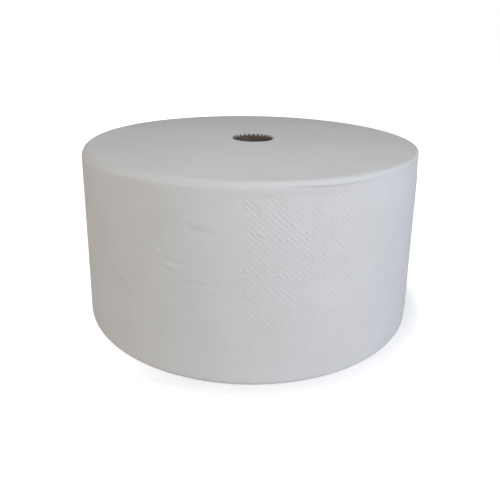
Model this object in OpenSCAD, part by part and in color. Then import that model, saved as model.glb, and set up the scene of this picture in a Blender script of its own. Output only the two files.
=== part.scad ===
// Paper towel roll, standing on its end: one long web of embossed paper wound on a
// cardboard core, with a rounded shoulder at each end and a loose outer edge at the back.
// Millimetres, +Z up. The origin is the middle of the end that the roll stands on.

/* [Roll] */
// Diameter over the outer turn
roll_d = 390; // [300:5:420]
// Width of the web, which is the height of the standing roll
roll_h = 200; // [150:5:260]
// Radius of the soft shoulder round the upper end
top_shoulder_r = 5.5; // [3:0.5:12]
// Radius of the soft shoulder round the lower end
base_shoulder_r = 6.5; // [3:0.5:12]

/* [Outer turn] */
// Thickness of the embossed two-ply sheet, which is the step at its loose edge
sheet_t = 0.5; // [0.3:0.1:1.5]
// Direction of the loose edge, seen from above and counted from +X
edge_azimuth = 69; // [0:1:359]

/* [Turns on the end faces] */
// Distance between two lines of the spiral that the turns draw on an end face
turn_pitch = 10; // [6:0.5:16]
// Width of that line
turn_line_w = 0.9; // [0.5:0.1:1.5]
// Depth of that line
turn_line_depth = 0.6; // [0.3:0.1:1.5]

/* [Core] */
// Bore of the cardboard tube
core_bore_d = 50; // [38:1:76]
// Wall of the cardboard tube
core_wall = 2; // [1.5:0.25:5]
// Play between the tube and the first turn, all round
core_play = 0.2; // [0.1:0.05:0.5]
// How far the core sits from the middle of the roll, towards the loose edge
core_shift = 9.5; // [0:0.5:12]

/* [Teeth of the core] */
// Number of teeth round each end of the tube
tooth_count = 28; // [16:1:36]
// Depth of the notch between two teeth
notch_depth = 3; // [1:0.25:5]
// Flat left on the tip of each tooth
tooth_tip = 0.8; // [0.4:0.1:2]

/* [Hidden] */

$fn = 96;
// How far a cutter reaches past the face that it cuts
clear = 1;
// Steps in a millimetre that the middles of the turns are rounded to
steps_per_mm = 500;

roll_r = roll_d / 2;
core_r = core_bore_d / 2 + core_wall;
bore_r = core_r + core_play;

// Turns that fit between the core and the narrowest start of a shoulder
turns_to = roll_r - sheet_t - max(top_shoulder_r, base_shoulder_r) - turn_line_w;
turn_count = floor((turns_to - bore_r) / turn_pitch);

// Tooth pitch along the bore, and the notch that it leaves beside a tip
tooth_pitch = PI * core_bore_d / tooth_count;
notch_w = tooth_pitch - tooth_tip;

// Radius of a turn, counted from the first one on the core
function turn_r(i) = bore_r + i * turn_pitch;

// Rounds a length, so that the half turns meet exactly
function rounded(x) = round(x * steps_per_mm) / steps_per_mm;

// Middle of a turn: it moves from the core's axis to the roll's as the turns grow
function turn_mid(i) = rounded(core_shift * (roll_r - turn_r(i)) / (roll_r - bore_r));

// Where a turn crosses the line of the loose edge, before and behind the core
function turn_front(i) = turn_mid(i) + turn_r(i);
function turn_back(i) = turn_mid(i) - turn_r(i);

// Half of the web's side view: a plain wall between two round shoulders
module half_section(r) {
    translate([0, base_shoulder_r])
        square([r, roll_h - top_shoulder_r - base_shoulder_r]);
    translate([0, roll_h / 2])
        square([r - top_shoulder_r, roll_h / 2]);
    square([r - base_shoulder_r, roll_h / 2]);
    translate([r - top_shoulder_r, roll_h - top_shoulder_r])
        circle(top_shoulder_r);
    translate([r - base_shoulder_r, base_shoulder_r])
        circle(base_shoulder_r);
}

// The wound web without its bore. Its halves turn about two middles, half a sheet
// apart, so the outside grows by one sheet in a turn and ends in the loose edge.
module wound_web() {
    rotate_extrude(angle = 180)
        half_section(roll_r);
    translate([-sheet_t / 2, 0, 0])
        rotate([0, 0, 180])
            rotate_extrude(angle = 180)
                half_section(roll_r - sheet_t / 2);
}

// Half a turn of the spiral line, as a cutter that stands on z = 0
module half_turn(mid, r, side) {
    translate([mid, 0, 0])
        rotate([0, 0, side])
            rotate_extrude(angle = 180)
                translate([r - turn_line_w / 2, 0])
                    square([turn_line_w, turn_line_depth + clear]);
}

// The line that the turns draw on an end face. It starts one pitch out from the
// core, and each half turn begins where the last one ended.
module turn_spiral() {
    for (i = [1 : turn_count])
        half_turn(turn_mid(i), turn_r(i), 0);
    for (i = [1 : turn_count - 1])
        half_turn(
            (turn_front(i + 1) + turn_back(i)) / 2,
            (turn_front(i + 1) - turn_back(i)) / 2,
            180
        );
}

module paper_roll() {
    color("whitesmoke")
        rotate([0, 0, edge_azimuth])
            difference() {
                wound_web();
                translate([core_shift, 0, -clear])
                    cylinder(r = bore_r, h = roll_h + 2 * clear);
                translate([0, 0, roll_h - turn_line_depth])
                    turn_spiral();
                translate([0, 0, -clear])
                    turn_spiral();
            }
}

// One notch through the tube's wall, pointing down from z = 0
module notch() {
    translate([core_bore_d / 2 - clear, 0, 0])
        rotate([90, 0, 90])
            linear_extrude(core_wall + 2 * clear)
                polygon([
                    [-notch_w / 2, 0],
                    [0, -notch_depth],
                    [notch_w / 2, 0],
                    [notch_w / 2, clear],
                    [-notch_w / 2, clear],
                ]);
}

module notch_ring() {
    for (i = [0 : tooth_count - 1])
        rotate([0, 0, 360 * i / tooth_count])
            notch();
}

module core_tube() {
    color("rosybrown")
        rotate([0, 0, edge_azimuth])
            translate([core_shift, 0, 0])
                difference() {
                    cylinder(r = core_r, h = roll_h);
                    translate([0, 0, -clear])
                        cylinder(d = core_bore_d, h = roll_h + 2 * clear);
                    translate([0, 0, roll_h])
                        notch_ring();
                    mirror([0, 0, 1])
                        notch_ring();
                }
}

paper_roll();
core_tube();
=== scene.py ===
# %% [markdown]
# # A paper towel roll
#
# This lesson dresses a wide roll of white embossed towel that stands on its end. The
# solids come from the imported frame: one wound web of paper and one cardboard core. The
# paper is modelled again here in two pieces, because a plain solid can't show the
# embossed sheet, its dents or the fine edges of the turns. The core keeps its solid and
# gets a cardboard finish. Everything is in metres.

# %% Load the frame
import math

import bmesh
import bpy
from mathutils import Euler, Matrix, Vector, noise


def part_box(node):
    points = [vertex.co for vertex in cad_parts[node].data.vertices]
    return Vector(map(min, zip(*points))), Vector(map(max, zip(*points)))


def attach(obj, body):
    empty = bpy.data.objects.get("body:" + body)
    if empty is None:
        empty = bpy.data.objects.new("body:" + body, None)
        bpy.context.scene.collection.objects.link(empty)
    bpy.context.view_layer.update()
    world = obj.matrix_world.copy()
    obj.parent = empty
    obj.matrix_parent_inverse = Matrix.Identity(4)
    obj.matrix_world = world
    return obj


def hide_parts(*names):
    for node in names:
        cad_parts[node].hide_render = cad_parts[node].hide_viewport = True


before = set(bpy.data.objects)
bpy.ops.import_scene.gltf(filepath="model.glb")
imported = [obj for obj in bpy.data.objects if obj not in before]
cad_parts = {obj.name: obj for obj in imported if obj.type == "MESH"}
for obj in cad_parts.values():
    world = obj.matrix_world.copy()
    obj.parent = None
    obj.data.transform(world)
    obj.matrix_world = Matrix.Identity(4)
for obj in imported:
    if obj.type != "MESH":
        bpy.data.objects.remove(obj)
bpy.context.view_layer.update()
print("nodes:", sorted(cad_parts))

# %% [markdown]
# ## Measures of the roll
#
# The roll's radius, height and the place of its core are read from the frame, so the
# pieces stay where the solids are. The sheet's thickness, the shoulders and the pitch of
# the turns repeat the values that the solids are made with.

# %% Measures from the frame
MM = 0.001
roll_lo, roll_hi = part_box("paper_roll")
core_lo, core_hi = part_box("core_tube")
ROLL_R = roll_hi.y
ROLL_H = roll_hi.z
CORE_MID = (core_lo + core_hi) / 2
CORE_R = (core_hi.x - core_lo.x) / 2
print(f"roll radius {ROLL_R:.4f}, height {ROLL_H:.4f}, core radius {CORE_R:.4f}")

# %% Measures that repeat the solids'
SHEET_T = 0.5 * MM
TOP_SHOULDER = 5.5 * MM
BASE_SHOULDER = 6.5 * MM
CORE_PLAY = 0.2 * MM
TURN_PITCH = 10 * MM
TURN_LINE_W = 0.9 * MM
LOOSE_EDGE = math.atan2(CORE_MID.y, CORE_MID.x)
BORE_R = CORE_R + CORE_PLAY
CORE_SHIFT = math.hypot(CORE_MID.x, CORE_MID.y)
print(f"loose edge at {math.degrees(LOOSE_EDGE):.1f} degrees")
print(f"core {CORE_SHIFT / MM:.1f} mm off the middle")

# %% [markdown]
# ## The camera
#
# The camera stands a little over half a metre in front of the roll and looks down on it
# by about fifteen degrees. Distance, height and tilt come from fitting the outline of a
# round drum to the photograph. The small roll angle and the shift copy its framing.

# %% Camera
FRAME_PX = 500
FOCAL_PX = 515.35
MIDDLE_PX = Vector((249.67, 174.0))
CAMERA_BACK = 3.1439 * ROLL_R
CAMERA_UP = 1.6302 * ROLL_R
CAMERA_TILT = math.radians(14.785)
CAMERA_ROLL = math.radians(0.7675)

camera_data = bpy.data.cameras.new("camera")
camera = bpy.data.objects.new("camera", camera_data)
bpy.context.scene.collection.objects.link(camera)
camera_data.sensor_width = 36.0
camera_data.lens = FOCAL_PX / FRAME_PX * camera_data.sensor_width
camera_data.shift_x = (FRAME_PX / 2 - MIDDLE_PX.x) / FRAME_PX
camera_data.shift_y = (MIDDLE_PX.y - FRAME_PX / 2) / FRAME_PX
look = Euler((math.pi / 2 - CAMERA_TILT, 0, 0)).to_matrix().to_4x4()
camera.matrix_world = (
    Matrix.Translation((0, -CAMERA_BACK, CAMERA_UP))
    @ look
    @ Matrix.Rotation(CAMERA_ROLL, 4, "Z")
)
bpy.context.scene.camera = camera
print(f"lens {camera_data.lens:.1f} mm, shift {camera_data.shift_y:.3f}")

# %% [markdown]
# ## Small helpers for materials
#
# A finish is a graph of nodes. One helper adds a node and fills its inputs: a socket is
# linked, and a plain number is set on the input itself. Others do sums and soft steps, so
# a pattern reads like a formula.


# %% Node helpers
def add_node(tree, kind, inputs=None, **settings):
    """Adds a node, sets its settings, and links or fills its inputs."""
    made = tree.nodes.new(kind)
    for name, value in settings.items():
        setattr(made, name, value)
    for name, value in (inputs or {}).items():
        if isinstance(value, bpy.types.NodeSocket):
            tree.links.new(value, made.inputs[name])
        else:
            made.inputs[name].default_value = value
    return made


def math_node(tree, operation, *values, clamp=False):
    """A sum of one to three values, which are sockets or numbers."""
    inputs = dict(enumerate(values))
    return add_node(tree, "ShaderNodeMath", inputs, operation=operation, use_clamp=clamp).outputs[0]


def soft_step(tree, value, low, high):
    """Rises smoothly from 0 at low to 1 at high."""
    inputs = {"Value": value, "From Min": low, "From Max": high}
    made = add_node(tree, "ShaderNodeMapRange", inputs, interpolation_type="SMOOTHSTEP")
    return made.outputs["Result"]


def picture_rays(tree):
    """1 for the rays that make the picture or a mirror image, and 0 for those that light."""
    rays = add_node(tree, "ShaderNodeLightPath")
    seen = math_node(tree, "ADD", rays.outputs["Is Camera Ray"], rays.outputs["Is Glossy Ray"])
    return math_node(tree, "ADD", seen, rays.outputs["Is Transmission Ray"], clamp=True)


def facing_up(tree):
    """1 where a face looks straight up or down, and 0 where it is upright."""
    normal = add_node(tree, "ShaderNodeNewGeometry").outputs["Normal"]
    upright = add_node(tree, "ShaderNodeSeparateXYZ", {"Vector": normal}).outputs["Z"]
    return math_node(tree, "ABSOLUTE", upright)


def noise_node(tree, vector, scale, detail=2.0, roughness=0.5):
    """Soft noise from 0 to 1, with its scale in cells a metre."""
    inputs = {"Vector": vector, "Scale": scale, "Detail": detail, "Roughness": roughness}
    return add_node(tree, "ShaderNodeTexNoise", inputs).outputs["Fac"]


def mix_colour(tree, factor, first, second):
    """Mixes two colours, each a socket or four numbers."""
    made = add_node(tree, "ShaderNodeMix", data_type="RGBA")
    for name, value in (("Factor_Float", factor), ("A_Color", first), ("B_Color", second)):
        socket = next(s for s in made.inputs if s.identifier == name)
        if isinstance(value, bpy.types.NodeSocket):
            tree.links.new(value, socket)
        else:
            socket.default_value = value
    return next(s for s in made.outputs if s.identifier == "Result_Color")


def new_material(name):
    """An empty Principled material, and its tree and shader node."""
    material = bpy.data.materials.new(name)
    material.use_nodes = True
    tree = material.node_tree
    shader = next(n for n in tree.nodes if n.type == "BSDF_PRINCIPLED")
    return material, tree, shader


print("material helpers ready")

# %% [markdown]
# ## The embossed dash
#
# The towel is pressed with short slanted dashes, one to a cell of about six and a half
# millimetres. They run from upper left to lower right in even rows. The same formula
# serves twice: it moves the vertices of the outer turn, and the material sharpens it with
# a fine bump.

# %% Emboss formula
EMBOSS_AROUND = 202
EMBOSS_UP = 32
DASH_INNER, DASH_OUTER = 0.04, 0.36
DASH_SHORT, DASH_LONG = 0.4, 0.95
EMBOSS_DEPTH = 0.44 * MM


def ease(value, low, high):
    """The same smooth rise as soft_step, for plain numbers."""
    t = min(max((value - low) / (high - low), 0.0), 1.0)
    return t * t * (3 - 2 * t)


def dash_height(u, v):
    """1 on a dash and 0 between dashes, for a place in cells round and up the web."""
    fu, fv = u % 1.0, v % 1.0
    across = abs(fu + fv - 1)
    along = abs(fu - fv)
    return (1 - ease(across, DASH_INNER, DASH_OUTER)) * (1 - ease(along, DASH_SHORT, DASH_LONG))


print("dash height in mid cell", dash_height(0.5, 0.5), "at its corner", dash_height(0, 0))

# %% [markdown]
# ## Where the turns lie
#
# A wound web is a spiral. Here, as in the solids, half of each turn keeps its radius and
# the other half grows by a full step, so the next turn starts where this one ends. The
# angle is counted from the loose edge of the outer turn.


# %% Spiral growth
def growth(turned):
    """How much of a step the web has grown after a turn from 0 to 2 pi."""
    if turned < math.pi:
        return 0.0
    return (1 + math.cos(turned)) / 2


for part in (0, 0.5, 0.75, 1):
    print(f"after {part} of a turn the web has grown {growth(part * 2 * math.pi):.2f} of a step")

# %% [markdown]
# ## Dents and creases of the outer turn
#
# The photograph shows the outer turn slightly crushed on the left: one broad dent, a few
# short creases, and two long faint tension lines that run round from them. Each is a
# short path over the wall, given by azimuth and height, with a width and a depth. A
# negative depth is a raised fold.

# %% Dents
# Each: (azimuth in degrees, height in mm) points, half width in mm, depth in mm
DENTS = [
    ([(-104.8, 160.5), (-102, 161.5)], 4.0, -0.36),
    ([(-105.2, 152.6), (-102.9, 153), (-100.6, 151.6)], 4.0, 0.5),
    ([(-114, 146.2), (-109, 146.2)], 3.8, 0.22),
    ([(-110, 166.5), (-103.4, 167)], 2.4, 0.12),
    ([(-115.4, 128.8), (-115.2, 128.2)], 1.3, -0.5),
    ([(-114.9, 131.2), (-114.5, 130.6)], 1.5, 0.4),
    ([(-113.4, 121.8), (-110.8, 120.2), (-108.4, 119.9)], 2.0, 0.42),
    ([(-108.4, 119.9), (-106.4, 119.2), (-95.3, 122.6), (-86, 122.5)], 1.6, 0.1),
    ([(-112.9, 116.8), (-111.9, 116.4)], 2.0, -0.4),
    ([(-113.3, 112.4), (-112.3, 112.2), (-111.3, 110.5)], 1.7, 0.6),
    ([(-111.2, 110.6), (-106.5, 112.2), (-95, 116.5), (-74, 115)], 1.6, 0.1),
    ([(-116.4, 100.9), (-115.1, 99.8), (-113.5, 98.4)], 2.2, 0.38),
    ([(-130.2, 97.2), (-127.9, 96.8), (-126.4, 94.4), (-125.2, 91.6), (-124.9, 88)], 2.0, 0.5),
    ([(-130, 92), (-127.4, 86.5)], 4.0, -0.45),
    ([(-107.7, 100.7), (-102.9, 101.6), (-98.3, 100.7)], 1.5, 0.36),
    ([(-98.3, 100.7), (-94.8, 99.8), (-86.4, 98.4), (-67, 94)], 1.5, 0.1),
    ([(-64.3, 175.3), (-60, 174.6)], 1.6, 0.18),
    ([(-60, 174.6), (-53, 173.5), (-46, 170)], 1.7, 0.06),
]
DENTED_FROM, DENTED_TO = -140.0, -40.0


def path_distance(azimuth, z, path):
    """Distance in mm over the wall from a place to a path of azimuths and heights."""
    mm_per_degree = math.radians(1) * ROLL_R / MM
    here = Vector((azimuth * mm_per_degree, z / MM))
    best = math.inf
    for (a0, z0), (a1, z1) in zip(path, path[1:]):
        start, end = Vector((a0 * mm_per_degree, z0)), Vector((a1 * mm_per_degree, z1))
        run = end - start
        along = min(max((here - start).dot(run) / run.length_squared, 0.0), 1.0)
        best = min(best, (here - start - run * along).length)
    return best


def dent_depth(azimuth, z):
    """How far the wall is pressed in at an azimuth in degrees and a height."""
    depth = 0.0
    if not DENTED_FROM < azimuth < DENTED_TO:
        return depth
    for path, half_width, deep in DENTS:
        reach = path_distance(azimuth, z, path) / half_width
        if reach < 3:
            depth += deep * MM * math.exp(-reach * reach)
    return depth


print(f"{len(DENTS)} dents and creases, deepest {max(d[2] for d in DENTS)} mm")

# %% [markdown]
# ## Shoulders
#
# Each end of the roll is softly rounded. The photograph shows a rounder upper shoulder on
# the left, where the roll was gripped, and a tight one on the right. The solids have one
# radius that lies between them. One function gives the shoulder at an azimuth, and
# another the wall's radius at a height: drawn in over each shoulder, and swollen by a
# millimetre on the right between them, as the photograph's outline is.

# %% Shoulders
TOP_PLAIN, TOP_SOFTER, TOP_TIGHTER = 1.09, 0.8, 0.68
SOFT_MIDDLE, SOFT_SPREAD = -165, 45
TIGHT_MIDDLE, TIGHT_SPREAD = -10, 30
BASE_MEAN, BASE_SWING = 0.85, 0.3
SWELL = 1.0 * MM
SWELL_MIDDLE, SWELL_SPREAD = -10, 45
SWELL_LOW = (0.5 * MM, 20 * MM)
SWELL_HIGH = (ROLL_H - 35 * MM, ROLL_H - 10 * MM)


def nearness(azimuth, middle, spread):
    """1 at a middle azimuth, and less with the distance from it."""
    away = (azimuth - middle + 180) % 360 - 180
    return math.exp(-((away / spread) ** 2))


def shoulder(azimuth, top):
    """Radius of the upper or lower shoulder at an azimuth in degrees."""
    if not top:
        return BASE_SHOULDER * (BASE_MEAN - BASE_SWING * math.cos(math.radians(azimuth)))
    softer = TOP_SOFTER * nearness(azimuth, SOFT_MIDDLE, SOFT_SPREAD)
    tighter = TOP_TIGHTER * nearness(azimuth, TIGHT_MIDDLE, TIGHT_SPREAD)
    return TOP_SHOULDER * (TOP_PLAIN + softer - tighter)


def swell(azimuth, z):
    """How far the wall stands out between the shoulders, most of all on the right."""
    between = ease(z, *SWELL_LOW) * (1 - ease(z, *SWELL_HIGH))
    return SWELL * nearness(azimuth, SWELL_MIDDLE, SWELL_SPREAD) * between


def wall_radius(azimuth, z):
    """Radius of the wall at a height, drawn in over each shoulder."""
    top = z > ROLL_H / 2
    round_r = shoulder(azimuth, top)
    rise = z - (ROLL_H - round_r) if top else round_r - z
    full_r = ROLL_R + swell(azimuth, z)
    if rise <= 0:
        return full_r
    return full_r - round_r + math.sqrt(max(round_r**2 - rise**2, 0.0))


left_mm, right_mm = shoulder(180, True) / MM, shoulder(0, True) / MM
print(f"upper shoulder {left_mm:.1f} mm on the left, {right_mm:.1f} on the right")

# %% [markdown]
# ## The edge of the outer turn
#
# The outer turn reaches a little way over each shoulder and ends there, flush with the
# turns inside it. On the right of the front its upper edge has slipped down, and leaves
# a thin dark slit below the overhanging turns. Functions say how high the edge lies, how
# wide the slit is open, and how far the edge stands off there.


# %% Lip and slit
def wrap_degrees(angle):
    """The same angle, in degrees from -180 to 180."""
    return (math.degrees(angle) + 180) % 360 - 180


LIP_Z = ROLL_H - 3.6 * MM
BASE_LIP_Z = 3.9 * MM
SLIT_DROP = 2.1 * MM
SLIT_GAP = 0.3 * MM
SLIT_LIFT = 0.3 * MM
SLIT_REACH = 8 * MM
# Azimuths where each starts, is full, begins to fade and ends
DROP_SPAN = (-83, -69, -52, -42)
GAP_SPAN = (-80, -77, -70, -52)
LIFT_SPAN = (-80, -72, -60, -50)


def span_share(azimuth, start, full, fade, end):
    """Rises from start to full and falls from fade to end."""
    return ease(azimuth, start, full) * (1 - ease(azimuth, fade, end))


def lip_height(azimuth):
    """Height of the upper edge of the outer turn where it closes on the shoulder."""
    return LIP_Z - SLIT_DROP * span_share(azimuth, *DROP_SPAN)


def slit_gap(azimuth):
    """How far the slit is open at an azimuth."""
    return SLIT_GAP * span_share(azimuth, *GAP_SPAN)


def slit_lift(azimuth, z):
    """How far the upper edge stands off beside the slit."""
    low = LIP_Z - SLIT_DROP - SLIT_REACH
    return SLIT_LIFT * span_share(azimuth, *LIFT_SPAN) * ease(z, low, LIP_Z - SLIT_DROP)


print(f"edge at {lip_height(0) / MM:.1f} mm, at {lip_height(-66) / MM:.1f} along the slit")

# %% [markdown]
# ## The outer turn
#
# The outer turn makes the wall that everyone sees. It starts as a grid, whose columns are
# bent round the roll and whose rows follow the sheet's section: up the outer side, over
# the edge and down the inner side. The radius grows by one sheet in a turn, and the last
# narrow column steps back to the first, which makes the loose edge at the back. Then the
# dashes rise and the dents sink.

# %% Section of the outer turn
CELL_STEPS = 3
LIP_STEPS = 3
OUTER_DEPTH = 2.2 * MM
INNER_REACH = 6 * MM
INNER_BEND = 9 * MM
WALL_LOW = 6.3 * MM
WALL_HIGH = ROLL_H - 9.2 * MM
CELL_H = (WALL_HIGH - WALL_LOW) / EMBOSS_UP


def outer_section(azimuth):
    """Closed section of the outer turn: height and depth in the sheet of each row."""
    rows = EMBOSS_UP * CELL_STEPS
    top_z = lip_height(azimuth) - slit_gap(azimuth)
    base_steps = [(WALL_LOW - BASE_LIP_Z) * i / LIP_STEPS for i in range(LIP_STEPS)]
    points = [(BASE_LIP_Z + step, 0.0) for step in base_steps]
    points += [(WALL_LOW + (WALL_HIGH - WALL_LOW) * i / rows, 0.0) for i in range(rows + 1)]
    lip_steps = [(top_z - WALL_HIGH) * (i + 1) / LIP_STEPS for i in range(LIP_STEPS)]
    points += [(WALL_HIGH + step, 0.0) for step in lip_steps]
    points += [
        (top_z - SHEET_T / 2, SHEET_T),
        (WALL_HIGH - INNER_REACH, SHEET_T),
        (WALL_HIGH - INNER_BEND, OUTER_DEPTH),
        (WALL_LOW + INNER_BEND, OUTER_DEPTH),
        (WALL_LOW + INNER_REACH, SHEET_T),
        (BASE_LIP_Z + SHEET_T / 2, SHEET_T),
    ]
    return points


print(f"section of {len(outer_section(0))} points")

# %% [markdown]
# The emboss isn't equally crisp all round. In the photograph it is sharp in the middle of
# the front, and pressed nearly smooth on the left and at the far right, so its strength
# is a few soft steps over the azimuth, roughened with noise.


# %% Emboss strength and soft waves
LEFT_PRESSED = 0.04
RIGHT_PRESSED = 0.12
# Azimuths between which the press comes and goes, in front and behind
FRONT_LEFT, FRONT_RIGHT = (-97, -87), (-65, -56)
BACK_LEFT, BACK_RIGHT = (-180, -160), (10, 30)
LOW_PRESS = 0.2
LOW_PRESS_Z = (12 * MM, 100 * MM)
PATCH_WIDE, PATCH_HIGH = 4, 11 * MM


def emboss_strength(azimuth, z):
    """From 0 to 1, for an azimuth in degrees and a height."""
    left = ease(azimuth, *FRONT_LEFT)
    if azimuth <= BACK_LEFT[1]:
        left = 1 - ease(azimuth, *BACK_LEFT)
    right = 1 - ease(azimuth, *FRONT_RIGHT)
    if azimuth >= BACK_RIGHT[0]:
        right = ease(azimuth, *BACK_RIGHT)
    on_left = LEFT_PRESSED + (1 - LEFT_PRESSED) * left
    on_right = RIGHT_PRESSED + (1 - RIGHT_PRESSED) * right
    low = LOW_PRESS + (1 - LOW_PRESS) * ease(z, *LOW_PRESS_Z)
    ends = ease(z, WALL_LOW, WALL_LOW + 10 * MM) * (1 - ease(z, WALL_HIGH - 5 * MM, WALL_HIGH))
    patch = noise.noise(Vector((azimuth / PATCH_WIDE, z / PATCH_HIGH, 3.0)))
    return min(on_left, on_right) * low * ends * min(max(0.85 + patch, 0.1), 1.3)


def dash_strength(u, v):
    """Each dash takes the press a little differently along its length."""
    return min(max(0.8 + 1.8 * noise.noise(Vector((u * 1.1, v * 1.1, 0.5))), 0.05), 1.8)


def soft_wave(azimuth, z):
    """Slow unevenness of a wound wall, which only sinks below the full radius."""
    around = Vector((math.cos(math.radians(azimuth)), math.sin(math.radians(azimuth)), 0))
    return 0.15 * MM * (noise.noise(around * 2.2 + Vector((0, 0, z * 14))) - 1)


print(f"emboss in mid front {emboss_strength(-80, ROLL_H / 2):.2f}")

# %% [markdown]
# Both paper pieces are grids bent to a ring, so they share the same helpers. One makes
# the grid and notes each vertex's column and row. One gives the angle of a column: the
# last two columns lie a hair apart, with the step of the loose edge between them. One
# writes a vertex's place on the web into a UV map, for the materials to draw on.

# %% Ring helpers
EDGE_GAP = 0.15 * MM / ROLL_R


def ring_grid(columns, rows):
    """A grid to bend round the roll, and each vertex's column and row."""
    bm = bmesh.new()
    bmesh.ops.create_grid(bm, x_segments=columns, y_segments=rows, size=0.5)
    spots = {v: (round((v.co.x + 0.5) * columns), round((v.co.y + 0.5) * rows)) for v in bm.verts}
    return bm, spots


def turned_at(column, columns):
    """Angle of a column, counted from the loose edge."""
    if column == columns:
        return 2 * math.pi
    return column / (columns - 1) * (2 * math.pi - EDGE_GAP)


def name_map(bm, name, places):
    """Writes two numbers of each vertex into a UV map."""
    layer = bm.loops.layers.uv.new(name)
    for face in bm.faces:
        for corner in face.loops:
            corner[layer].uv = places[corner.vert]


def finish_piece(bm, name, material, sharp_degrees):
    """Makes an object of the mesh at the origin and shades it."""
    bmesh.ops.remove_doubles(bm, verts=bm.verts[:], dist=0.002 * MM)
    bmesh.ops.dissolve_degenerate(bm, edges=bm.edges[:], dist=0.002 * MM)
    bmesh.ops.recalc_face_normals(bm, faces=bm.faces[:])
    loose = sum(1 for e in bm.edges if len(e.link_faces) != 2)
    mesh = bpy.data.meshes.new(name)
    bm.to_mesh(mesh)
    bm.free()
    mesh.shade_smooth()
    mesh.set_sharp_from_angle(angle=math.radians(sharp_degrees))
    piece = bpy.data.objects.new(name, mesh)
    bpy.context.scene.collection.objects.link(piece)
    mesh.materials.append(material)
    triangles = sum(len(p.vertices) - 2 for p in mesh.polygons)
    print(f"{name}: {len(mesh.vertices)} vertices, {triangles} triangles, {loose} open edges")
    return piece


print("ring helpers ready")


# %% Model the outer turn
def outer_point(turned, step, row):
    """A place of the outer turn: how far it has turned, its step and its section row."""
    azimuth = wrap_degrees(turned + LOOSE_EDGE)
    z, inside = outer_section(azimuth)[row]
    u, v = turned * EMBOSS_AROUND / (2 * math.pi), (z - WALL_LOW) / CELL_H
    pattern = dash_height(u, v) * dash_strength(u, v)
    pressed = EMBOSS_DEPTH * (1 - pattern) * emboss_strength(azimuth, z) + dent_depth(azimuth, z)
    skin = 1 - ease(inside, SHEET_T, OUTER_DEPTH)
    r = wall_radius(azimuth, z) - inside - SHEET_T * step
    return r + skin * (soft_wave(azimuth, z) - pressed) + slit_lift(azimuth, z), z


def model_outer_turn():
    """The wall of the roll, with its dashes, dents, slit and loose edge."""
    columns = EMBOSS_AROUND * CELL_STEPS + 1
    rows = len(outer_section(0))
    bm, spots = ring_grid(columns, rows)
    places, strengths = {}, {}
    for v, (column, row) in spots.items():
        turned = turned_at(column, columns)
        step = 0.0 if column == columns else growth(turned)
        r, z = outer_point(0.0 if column == columns else turned, step, row % rows)
        u, w = turned * EMBOSS_AROUND / (2 * math.pi), (z - WALL_LOW) / CELL_H
        places[v] = (u, w)
        strengths[v] = (emboss_strength(wrap_degrees(turned + LOOSE_EDGE), z), dash_strength(u, w))
        a = turned + LOOSE_EDGE
        v.co = (r * math.cos(a), r * math.sin(a), z)
    name_map(bm, "web", places)
    name_map(bm, "press", strengths)
    bmesh.ops.triangulate(bm, faces=bm.faces[:], quad_method="ALTERNATE")
    return bm


outer_mesh = model_outer_turn()
print(f"outer turn modelled with {len(outer_mesh.faces)} faces")

# %% [markdown]
# ## The wound turns
#
# Inside the outer turn lie more than eight hundred others, of which only the edges show,
# on the two end faces. The piece is one grid, bent round the roll: its rows follow the
# section, up the bore, out over the upper face, over the shoulder and back below. On the
# faces the rows run as a spiral, each held between the bore and the shoulder, so that the
# end of each row meets the start of another and the seam closes. The rows stand a hair's
# breadth higher or lower, as the turns of a real roll do.

# %% Rows of the wound turns
COLUMNS = 240
LINE_SHARE = TURN_LINE_W / 2 / TURN_PITCH
FINE_ROWS = 10
COARSE_ROWS = 4
FACE_R = ROLL_R - min(shoulder(azimuth, True) for azimuth in range(-180, 180))
BASE_FACE_R = ROLL_R - min(shoulder(azimuth, False) for azimuth in range(-180, 180))
CENTRED_R = ROLL_R - max(shoulder(azimuth, True) for azimuth in range(-180, 180))
ARC_STEPS = 8
RELIEF = 0.06 * MM
SEEN_LINE_DEPTH = 0.05 * MM
NECK_TUCK = 1.2 * MM
TUCK_DROP = 0.4 * MM
NECK_DEPTH = 3.2 * MM
NECK_H = 12 * MM
WAVE_DEPTH = 0.25 * MM
WAVES_A_METRE = 16


def turn_rows(face_r, between):
    """Places of the rows over a face, in turns from the bore, with the turn lines' edges."""
    rows = []
    for turn in range(-1, math.ceil((face_r - BORE_R) / TURN_PITCH) + 1):
        rows += [turn - LINE_SHARE, turn, turn + LINE_SHARE]
        rows += [turn + LINE_SHARE + (1 - 2 * LINE_SHARE) * i / between for i in range(1, between)]
    return sorted(rows)


def section_rows():
    """The section as rows of a kind and its values, from the foot of the bore round."""
    rows = [("fixed", BORE_R, 0.0)]
    rows += [("upper", row, 0.0) for row in turn_rows(FACE_R, FINE_ROWS)]
    rows += [("top_arc", i / ARC_STEPS, 0.0) for i in range(ARC_STEPS + 1)]
    rows += [("top_lip", 0.0, 0.0), ("top_lip", TUCK_DROP, NECK_TUCK)]
    rows.append(("fixed", ROLL_R - NECK_DEPTH, WALL_HIGH - NECK_H))
    rows.append(("fixed", ROLL_R - NECK_DEPTH, WALL_LOW + NECK_H))
    rows += [("base_lip", TUCK_DROP, NECK_TUCK), ("base_lip", 0.0, 0.0)]
    rows += [("base_arc", 1 - i / ARC_STEPS, 0.0) for i in range(ARC_STEPS + 1)]
    rows += [("lower", row, 0.0) for row in reversed(turn_rows(BASE_FACE_R, COARSE_ROWS))]
    return rows


wound_rows = section_rows()
print(f"{len(wound_rows)} rows round the section")


# %% Places on the faces and shoulders
def row_relief(row, turned):
    """Height of a row over the face: low in a turn line, and uneven beside it."""
    if abs(row - round(row)) < LINE_SHARE / 2:
        return -SEEN_LINE_DEPTH
    along = row + turned / (2 * math.pi)
    return RELIEF * (noise.noise(Vector((along * 7.3, 1.7, 0.4))) - 1) / 2


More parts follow.
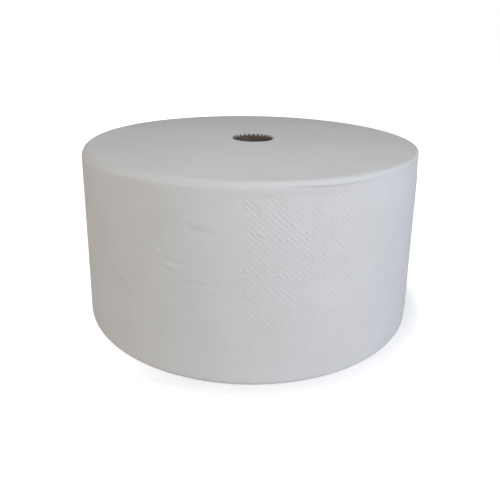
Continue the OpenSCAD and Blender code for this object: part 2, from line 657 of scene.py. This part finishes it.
def face_point(turned, row, face_r, height, up):
    """Radius and height of a row on a face, held between the bore and the shoulder."""
    r = BORE_R + TURN_PITCH * (row + growth(turned))
    if r <= BORE_R:
        return BORE_R, height
    if r >= face_r:
        return face_r, height
    place = Vector((math.cos(turned), math.sin(turned), 0)) * r * WAVES_A_METRE
    place.z = height
    wave = WAVE_DEPTH * (noise.noise(place) - 1) / 2
    edge = ease(r, BORE_R, BORE_R + 2 * MM) * (1 - ease(r, face_r - 4 * MM, face_r))
    return r, height + up * edge * (row_relief(row, turned) + wave)


def shoulder_step(r, step):
    """The turn's growth, which fades out over the shoulder towards the face."""
    return SHEET_T * step * ease(r, CENTRED_R, ROLL_R - SHEET_T)


def arc_point(azimuth, step, share, top):
    """A place on a shoulder, from the face at share 0 down to the wall at share 1."""
    round_r = shoulder(azimuth, top)
    lip = (lip_height(azimuth) - ROLL_H if top else -BASE_LIP_Z) + round_r
    low = math.asin(min(max(lip / round_r, 0.0), 1.0))
    angle = math.pi / 2 + (low - math.pi / 2) * share
    rise = round_r * (1 - math.sin(angle))
    r = ROLL_R - round_r * (1 - math.cos(angle))
    return r - shoulder_step(r, step), ROLL_H - rise if top else rise


def lip_point(azimuth, step, drop, tuck, top):
    """A place where the outer turn closes on the shoulder, or just behind it."""
    z = lip_height(azimuth) - drop if top else BASE_LIP_Z + drop
    r = wall_radius(azimuth, z)
    return r - tuck - shoulder_step(r, step), z


def wound_point(turned, step, row):
    """Radius and height of a section row after part of a turn."""
    kind, value, extra = wound_rows[row]
    azimuth = wrap_degrees(turned + LOOSE_EDGE)
    if kind == "upper":
        return face_point(turned, value, ROLL_R - shoulder(azimuth, True), ROLL_H, 1)
    if kind == "lower":
        return face_point(turned, value, ROLL_R - shoulder(azimuth, False), 0.0, -1)
    if kind in ("top_arc", "base_arc"):
        return arc_point(azimuth, step, value, kind == "top_arc")
    if kind in ("top_lip", "base_lip"):
        return lip_point(azimuth, step, value, extra, kind == "top_lip")
    return value, extra


# %% Model the wound turns
def model_wound_turns():
    """The roll's body, with a spiral of turns on both end faces."""
    bm, spots = ring_grid(COLUMNS, len(wound_rows))
    to_core = Vector((CORE_MID.x, CORE_MID.y, 0)).normalized()
    places = {}
    for v, (column, row) in spots.items():
        turned = turned_at(column, COLUMNS)
        step = 0.0 if column == COLUMNS else growth(turned)
        r, z = wound_point(turned, step, row % len(wound_rows))
        places[v] = (turned / (2 * math.pi), r / TURN_PITCH)
        shift = CORE_SHIFT * min(max((CENTRED_R - r) / (CENTRED_R - BORE_R), 0.0), 1.0)
        a = turned + LOOSE_EDGE
        v.co = Vector((r * math.cos(a), r * math.sin(a), z)) + to_core * shift
    name_map(bm, "web", places)
    return bm


wound_mesh = model_wound_turns()
print(f"wound turns modelled with {len(wound_mesh.faces)} faces")

# %% [markdown]
# ## Paper
#
# Towel is soft, matt and very slightly uneven in colour. Both paper materials share one
# base: fibres and crepe as fine bump, cloudy patches as colour. The wall adds the crisp
# middle of each dash, as strong as the press is there. The ends add the edges of the
# single turns, as fine rings that follow the web's own map. The shoulders get painted
# shade: a darker colour wherever a face isn't level, for the shade between the turns' edges.

# %% Paper materials
PAPER = (0.66, 0.66, 0.655, 1.0)
PAPER_SHADE = (0.62, 0.617, 0.605, 1.0)
PAINTED_SHOULDER_SHADE = (0.595, 0.595, 0.59, 1.0)
PAPER_ROUGHNESS = 0.92
FIBRE_BUMP = 0.06 * MM
DASH_BUMP = 0.12 * MM
RING_BUMP = 0.04 * MM


def paper_base(name, contrast):
    """A paper material with clouds of colour; returns its parts and its fibre height."""
    material, tree, shader = new_material(name)
    place = add_node(tree, "ShaderNodeTexCoord").outputs["Object"]
    clouds = noise_node(tree, place, 14.0, detail=4.0, roughness=0.6)
    speckle = noise_node(tree, place, 650.0, detail=3.0)
    patch = math_node(tree, "MULTIPLY_ADD", speckle, 0.35, clouds)
    factor = soft_step(tree, patch, 0.45, 0.95)
    colour = mix_colour(tree, math_node(tree, "MULTIPLY", factor, contrast), PAPER, PAPER_SHADE)
    shader.inputs["Roughness"].default_value = PAPER_ROUGHNESS
    shader.inputs["Specular IOR Level"].default_value = 0.25
    fibres = noise_node(tree, place, 1100.0, detail=5.0, roughness=0.65)
    return material, tree, shader, colour, fibres


def add_bump(tree, shader, height, distance, strength=1.0, before=None):
    """Adds a bump of a height in metres to a shader, after another bump if one is given."""
    inputs = {"Height": height, "Distance": distance, "Strength": strength}
    if before is not None:
        inputs["Normal"] = before
    bump = add_node(tree, "ShaderNodeBump", inputs).outputs["Normal"]
    tree.links.new(bump, shader.inputs["Normal"])
    return bump


def wall_paper():
    """Paper of the outer turn, with the crisp middle of each dash."""
    material, tree, shader, colour, fibres = paper_base("embossed_paper", 0.8)
    web = add_node(tree, "ShaderNodeUVMap", uv_map="web").outputs["UV"]
    parts = add_node(tree, "ShaderNodeSeparateXYZ", {"Vector": web})
    fu = math_node(tree, "FRACT", parts.outputs["X"])
    fv = math_node(tree, "FRACT", parts.outputs["Y"])
    total = math_node(tree, "ADD", fu, fv)
    across = math_node(tree, "ABSOLUTE", math_node(tree, "SUBTRACT", total, 1.0))
    along = math_node(tree, "ABSOLUTE", math_node(tree, "SUBTRACT", fu, fv))
    ridge = math_node(tree, "SUBTRACT", 1.0, soft_step(tree, across, 0.02, 0.2))
    short = math_node(tree, "SUBTRACT", 1.0, soft_step(tree, along, 0.4, 0.75))
    dash = math_node(tree, "MULTIPLY", ridge, short)
    press = add_node(tree, "ShaderNodeUVMap", uv_map="press").outputs["UV"]
    shares = add_node(tree, "ShaderNodeSeparateXYZ", {"Vector": press})
    share = math_node(tree, "MULTIPLY", shares.outputs["X"], shares.outputs["Y"])
    first = add_bump(tree, shader, math_node(tree, "MULTIPLY", dash, share), DASH_BUMP)
    add_bump(tree, shader, fibres, FIBRE_BUMP, 0.6, first)
    tree.links.new(colour, shader.inputs["Base Color"])
    return material


def end_paper():
    """Paper of the end faces, where the edges of the turns show as fine rings."""
    material, tree, shader, colour, fibres = paper_base("wound_paper_edges", 1.0)
    web = add_node(tree, "ShaderNodeUVMap", uv_map="web").outputs["UV"]
    turns = add_node(tree, "ShaderNodeSeparateXYZ", {"Vector": web}).outputs["Y"]
    ring_inputs = {"W": turns, "Scale": 9.0, "Detail": 4.0, "Roughness": 0.7}
    rings = add_node(tree, "ShaderNodeTexNoise", ring_inputs, noise_dimensions="1D").outputs["Fac"]
    lines = soft_step(tree, rings, 0.35, 0.75)
    colour = mix_colour(tree, math_node(tree, "MULTIPLY", lines, 0.3), colour, PAPER_SHADE)
    # Painted shade: every face that isn't level, mostly the shoulders, gets a darker colour.
    shoulder_shade_mask = math_node(tree, "SUBTRACT", 1.0, soft_step(tree, facing_up(tree), 0.9, 0.998))
    colour = mix_colour(tree, shoulder_shade_mask, colour, PAINTED_SHOULDER_SHADE)
    first = add_bump(tree, shader, rings, RING_BUMP, 0.7)
    add_bump(tree, shader, fibres, FIBRE_BUMP, 0.6, first)
    tree.links.new(colour, shader.inputs["Base Color"])
    return material


outer_turn = finish_piece(outer_mesh, "outer_turn", wall_paper(), 50)
wound_turns = finish_piece(wound_mesh, "wound_turns", end_paper(), 50)
print("paper on", outer_turn.name, "and", wound_turns.name)

# %% [markdown]
# ## Cardboard
#
# The core is wound from strips of grey-brown board. The seam between two strips climbs
# round the tube as a helix, and the board's fibres run along it. The teeth at the ends
# are cut, so their edges are paler than the faces. The solid already has the tube and its
# teeth, and only its finish is added here.

# %% Cardboard material
BOARD = (0.165, 0.132, 0.11, 1.0)
BOARD_DARK = (0.1, 0.08, 0.066, 1.0)
BOARD_CUT = (0.5, 0.46, 0.41, 1.0)
STRIP_W = 70 * MM


def board_material():
    """Spirally wound board, with a seam, fibres and paler cut ends."""
    material, tree, shader = new_material("core_board")
    place = add_node(tree, "ShaderNodeTexCoord").outputs["Object"]
    from_core = add_node(
        tree, "ShaderNodeVectorMath", {0: place, 1: (CORE_MID.x, CORE_MID.y, 0)}, operation="SUBTRACT"
    ).outputs[0]
    axes = add_node(tree, "ShaderNodeSeparateXYZ", {"Vector": from_core})
    angle = math_node(tree, "ARCTAN2", axes.outputs["Y"], axes.outputs["X"])
    turn = math_node(tree, "DIVIDE", angle, 2 * math.pi)
    climb = math_node(tree, "DIVIDE", axes.outputs["Z"], STRIP_W)
    strip = math_node(tree, "FRACT", math_node(tree, "SUBTRACT", climb, turn))
    seam = math_node(tree, "SUBTRACT", 1.0, soft_step(tree, strip, 0.0, 0.03))
    stretch = add_node(tree, "ShaderNodeMapping", {"Vector": from_core, "Scale": (1.0, 1.0, 0.35)})
    fibres = noise_node(tree, stretch.outputs[0], 900.0, detail=5.0, roughness=0.7)
    blotch = noise_node(tree, from_core, 90.0, detail=3.0)
    blotch = math_node(tree, "MULTIPLY", blotch, 0.5)
    dark = math_node(tree, "MULTIPLY_ADD", fibres, 0.6, blotch, clamp=True)
    colour = mix_colour(tree, soft_step(tree, dark, 0.3, 0.8), BOARD, BOARD_DARK)
    colour = mix_colour(tree, math_node(tree, "MULTIPLY", seam, 0.6), colour, BOARD_DARK)
    colour = mix_colour(tree, soft_step(tree, facing_up(tree), 0.3, 0.6), colour, BOARD_CUT)
    shader.inputs["Roughness"].default_value = 0.88
    shader.inputs["Specular IOR Level"].default_value = 0.25
    first = add_bump(tree, shader, math_node(tree, "MULTIPLY", seam, -1.0), 0.2 * MM)
    add_bump(tree, shader, fibres, 0.1 * MM, 0.7, first)
    tree.links.new(colour, shader.inputs["Base Color"])
    return material


core_tube = bpy.data.objects["core_tube"]
core_tube.data.materials.clear()
core_tube.data.materials.append(board_material())
print("board on", core_tube.name)

# %% [markdown]
# ## Riding on the frame
#
# Each paper piece rides on the body that carries it, and the solid that they replace is
# hidden. Nothing on a roll moves by itself, so there is one body.

# %% Ride and replace
for piece in (outer_turn, wound_turns):
    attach(piece, "root")
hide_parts("paper_roll")
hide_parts("paper_roll")
print("pieces ride on root")

# %% [markdown]
# ## Floor and background
#
# The photograph has a plain white background and a faint soft shadow, close below the
# roll and on its right. The floor is a wide matt plane. For camera rays it glows a little
# on top of its own light, so that it shows white without any more light on the roll. It
# glows less close to the roll's front and right, which paints a soft shadow there over the
# real one, and a little more right at the contact, which paints light over the real shadow's dark line.

# %% Floor
FLOOR_SIZE = 12.0
FLOOR_COLOUR = (0.6, 0.6, 0.6, 1.0)
FRONT_LIFT, SIDE_LIFT, FAR_LIFT = 0.42, 0.47, 1.02
NEAR_FLOOR, FAR_FLOOR = 0.197, 0.245
CONTACT_LIFT = 0.2
CONTACT_FROM, CONTACT_TO = 0.1925, 0.196
SHADOW_SIDE = Vector((0.64, -0.77, 0))
SHADOW_FROM, SHADOW_TO = -0.3, 0.6
SIDE_FROM, SIDE_TO = 0.2, 0.9


def floor_material():
    """Matt white that reads as white to the camera, with a painted soft shadow at the roll's front and
    right.
    """
    material, tree, shader = new_material("floor")
    shader.inputs["Base Color"].default_value = FLOOR_COLOUR
    shader.inputs["Roughness"].default_value = 1.0
    shader.inputs["Specular IOR Level"].default_value = 0.0
    place = add_node(tree, "ShaderNodeTexCoord").outputs["Object"]
    away = add_node(tree, "ShaderNodeVectorMath", {0: place}, operation="LENGTH").outputs["Value"]
    far = soft_step(tree, away, NEAR_FLOOR, FAR_FLOOR)
    towards = add_node(tree, "ShaderNodeVectorMath", {0: place, 1: SHADOW_SIDE}, operation="DOT_PRODUCT")
    turned = math_node(tree, "DIVIDE", towards.outputs["Value"], away)
    clear = math_node(tree, "SUBTRACT", 1.0, soft_step(tree, turned, SHADOW_FROM, SHADOW_TO))
    white = math_node(tree, "MAXIMUM", far, clear)
    across = add_node(tree, "ShaderNodeSeparateXYZ", {"Vector": place}).outputs["X"]
    side = soft_step(tree, math_node(tree, "DIVIDE", across, away), SIDE_FROM, SIDE_TO)
    # Painted shadow: the glow is lower close to the roll's front and right.
    near = math_node(tree, "MULTIPLY_ADD", side, SIDE_LIFT - FRONT_LIFT, FRONT_LIFT)
    contact = math_node(tree, "SUBTRACT", 1.0, soft_step(tree, away, CONTACT_FROM, CONTACT_TO))
    # Painted light: the glow rises again right at the contact.
    near = math_node(tree, "MULTIPLY_ADD", contact, CONTACT_LIFT, near)
    lift = math_node(tree, "MULTIPLY_ADD", white, math_node(tree, "SUBTRACT", FAR_LIFT, near), near)
    lift = math_node(tree, "MULTIPLY", picture_rays(tree), lift)
    shader.inputs["Emission Color"].default_value = (1, 1, 1, 1)
    tree.links.new(lift, shader.inputs["Emission Strength"])
    return material


def model_floor():
    """A plane under the roll."""
    bm = bmesh.new()
    bmesh.ops.create_grid(bm, x_segments=1, y_segments=1, size=FLOOR_SIZE / 2)
    mesh = bpy.data.meshes.new("floor")
    bm.to_mesh(mesh)
    bm.free()
    floor = bpy.data.objects.new("floor", mesh)
    bpy.context.scene.collection.objects.link(floor)
    mesh.materials.append(floor_material())
    return floor


floor = model_floor()
print("floor", FLOOR_SIZE, "m wide")

# %% [markdown]
# ## Light
#
# In the photograph a cool window-like light comes from the right, and the left is lit by
# a weaker, warmer one. Light from the front and from close above evens them out. The
# strengths of these five area lamps were found by matching the shading of a plain drum to
# the photograph. A sixth lamp behind the roll keeps the hidden side from going dark. A
# dim even world fills the rest, and looks white to the camera.


# %% Lamps and world
def area_lamp(name, azimuth, elevation, distance, size, power, colour):
    """A square lamp that looks at the middle of the roll from a direction in degrees."""
    data = bpy.data.lights.new(name, "AREA")
    data.shape = "SQUARE"
    data.size = size
    data.energy = power
    data.color = colour
    lamp = bpy.data.objects.new(name, data)
    bpy.context.scene.collection.objects.link(lamp)
    a, e = math.radians(azimuth), math.radians(elevation)
    out = Vector((math.cos(a) * math.cos(e), math.sin(a) * math.cos(e), math.sin(e)))
    lamp.location = Vector((0, 0, ROLL_H / 2)) + out * distance
    lamp.rotation_euler = out.to_track_quat("Z", "Y").to_euler()
    return lamp


FAR, WIDE = 1.6, 0.9
NEAR, SMALL = 0.85, 0.35
front = area_lamp("front", -80, 12, FAR, WIDE, 8.7, (1.0, 0.99, 0.95))
window = area_lamp("window", -30, 12, FAR, WIDE, 9.8, (0.74, 0.79, 1.0))
fill = area_lamp("fill", -175, 12, FAR, WIDE, 7.6, (1.0, 0.88, 0.8))
top_front = area_lamp("top_front", -65, 66, NEAR, SMALL, 2.2, (0.92, 0.97, 1.0))
top_left = area_lamp("top_left", -110, 60, NEAR, SMALL, 0.8, (1.0, 0.99, 0.96))
back = area_lamp("back", 108, 12, FAR, WIDE, 4.1, (1.0, 0.92, 0.8))

world = bpy.data.worlds.new("studio")
bpy.context.scene.world = world
world.use_nodes = True
WORLD_GREY = 0.085
tree = world.node_tree
background = next(n for n in tree.nodes if n.type == "BACKGROUND")
level = math_node(tree, "MULTIPLY_ADD", picture_rays(tree), 1 - WORLD_GREY, WORLD_GREY)
background.inputs["Color"].default_value = (1, 1, 1, 1)
tree.links.new(level, background.inputs["Strength"])
bpy.context.scene.view_settings.view_transform = "Standard"
print("lamps:", ", ".join(o.name for o in (front, window, fill, top_front, top_left, back)))
